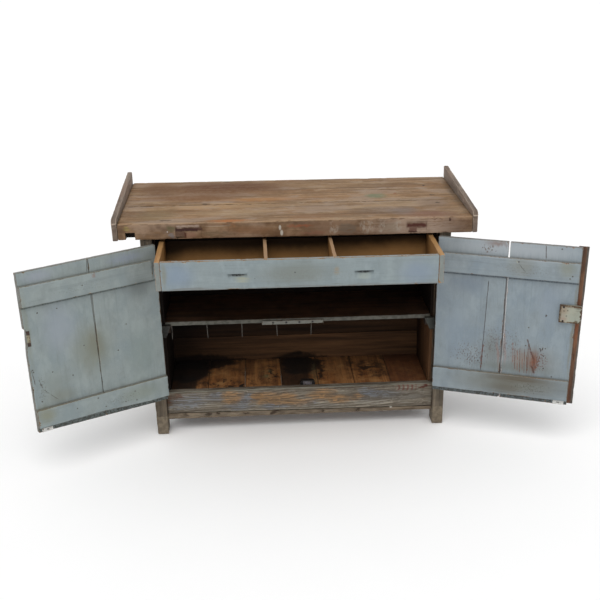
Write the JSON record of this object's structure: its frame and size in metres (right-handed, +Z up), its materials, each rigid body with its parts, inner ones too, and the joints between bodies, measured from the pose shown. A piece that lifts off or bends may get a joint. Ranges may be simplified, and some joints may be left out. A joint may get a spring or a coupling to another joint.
{
  "type": "sideboard",
  "caption": "Old painted plank sideboard: thick worktop with end boards over a low cabinet with a shelf, ledged doors on butt hinges, and a wide divided drawer drawn out.",
  "frame": {"origin": "on the floor under the middle of the whole outline as it stands with its doors and drawer open", "axes": "+X to the right seen from the front, -Y out of the front, +Z up"},
  "size_m": [2.1032, 0.9904, 0.941],
  "materials": {
    "top_wood": "bare, weathered",
    "end_wood": "bare, weathered grey",
    "post_wood": "old paint worn to the wood",
    "rail_wood": "worn paint over coarse grain",
    "dark_wood": "aged, unfinished",
    "floor_wood": "aged, stained",
    "shelf_wood": "aged, unfinished",
    "shelf_paint": "worn paint",
    "drawer_paint": "worn eggshell paint",
    "drawer_wood": "bare pine",
    "left_door_paint": "worn eggshell paint",
    "right_door_paint": "worn eggshell paint",
    "strip_wood": "bare, planed",
    "lock_paint": "old paint, rust at the edges",
    "plate_metal": "dull",
    "rusty_iron": "rusty",
    "black_iron": "dark, dull"
  },
  "bodies": {
    "frame": {"worktop_front_plank": "top_wood", "worktop_rear_plank": "top_wood", "end_board_left": "end_wood", "end_board_right": "end_wood", "post_front_left": "post_wood", "post_front_right": "post_wood", "post_rear_left": "post_wood", "post_rear_right": "post_wood", "bottom_rail": "rail_wood", "side_panel_left": "dark_wood", "side_panel_right": "dark_wood", "back_board_1": "dark_wood", "back_board_2": "dark_wood", "back_board_3": "dark_wood", "back_board_4": "dark_wood", "back_board_5": "dark_wood", "floor_board_1": "floor_wood", "floor_board_2": "floor_wood", "floor_board_3": "floor_wood", "floor_board_4": "floor_wood", "floor_board_5": "floor_wood", "floor_board_6": "floor_wood", "floor_board_7": "floor_wood", "floor_bearers": "dark_wood", "shelf": "shelf_wood", "shelf_cleats": "dark_wood", "shelf_stop": "shelf_paint", "shelf_stop_nails": "rusty_iron", "shelf_wire_nails": "rusty_iron", "shelf_bracket_left": "shelf_paint", "shelf_bracket_right": "shelf_paint", "drawer_runners": "dark_wood", "catch": "black_iron", "catch_strike": "plate_metal", "hinge_post_leaves": "rusty_iron", "hinge_pins": "rusty_iron"},
    "drawer": {"drawer_front": "drawer_paint", "drawer_side_left": "drawer_wood", "drawer_side_right": "drawer_wood", "drawer_back": "drawer_wood", "drawer_bottom": "drawer_wood", "drawer_divider_left": "drawer_wood", "drawer_divider_right": "drawer_wood"},
    "left_door": {"left_door_hinge_board": "left_door_paint", "left_door_free_board": "left_door_paint", "left_door_upper_batten": "left_door_paint", "left_door_lower_batten": "left_door_paint", "left_door_hinge_leaves": "rusty_iron", "left_door_keep": "plate_metal", "left_door_catch_plate": "plate_metal"},
    "right_door": {"right_door_hinge_board": "right_door_paint", "right_door_free_board": "right_door_paint", "right_door_upper_batten": "right_door_paint", "right_door_lower_batten": "right_door_paint", "right_door_hinge_leaves": "rusty_iron", "right_door_cover_strip": "strip_wood", "right_door_catch_plate": "plate_metal", "lock_case": "lock_paint", "lock_screws": "rusty_iron"},
    "lock_bolt": {"lock_bolt": "rusty_iron"}
  },
  "joints": [
    {"name": "left_door_hinge", "type": "hinge", "parent": "frame", "child": "left_door", "pos_m": [-0.58914, -0.16828, 0.507], "axis": [0, 0, -1], "range_deg": [-31.5, 32.5]},
    {"name": "right_door_hinge", "type": "hinge", "parent": "frame", "child": "right_door", "pos_m": [0.51626, -0.16828, 0.507], "axis": [0, 0, 1], "range_deg": [-42.5, 21.5]},
    {"name": "drawer_slide", "type": "slide", "parent": "frame", "child": "drawer", "axis": [0, -1, 0], "range_m": [-0.304, 0.008]},
    {"name": "lock_bolt_slide", "type": "slide", "parent": "right_door", "child": "lock_bolt", "axis": [0.9304, -0.3665, 0], "range_m": [0, 0.01]}
  ]
}
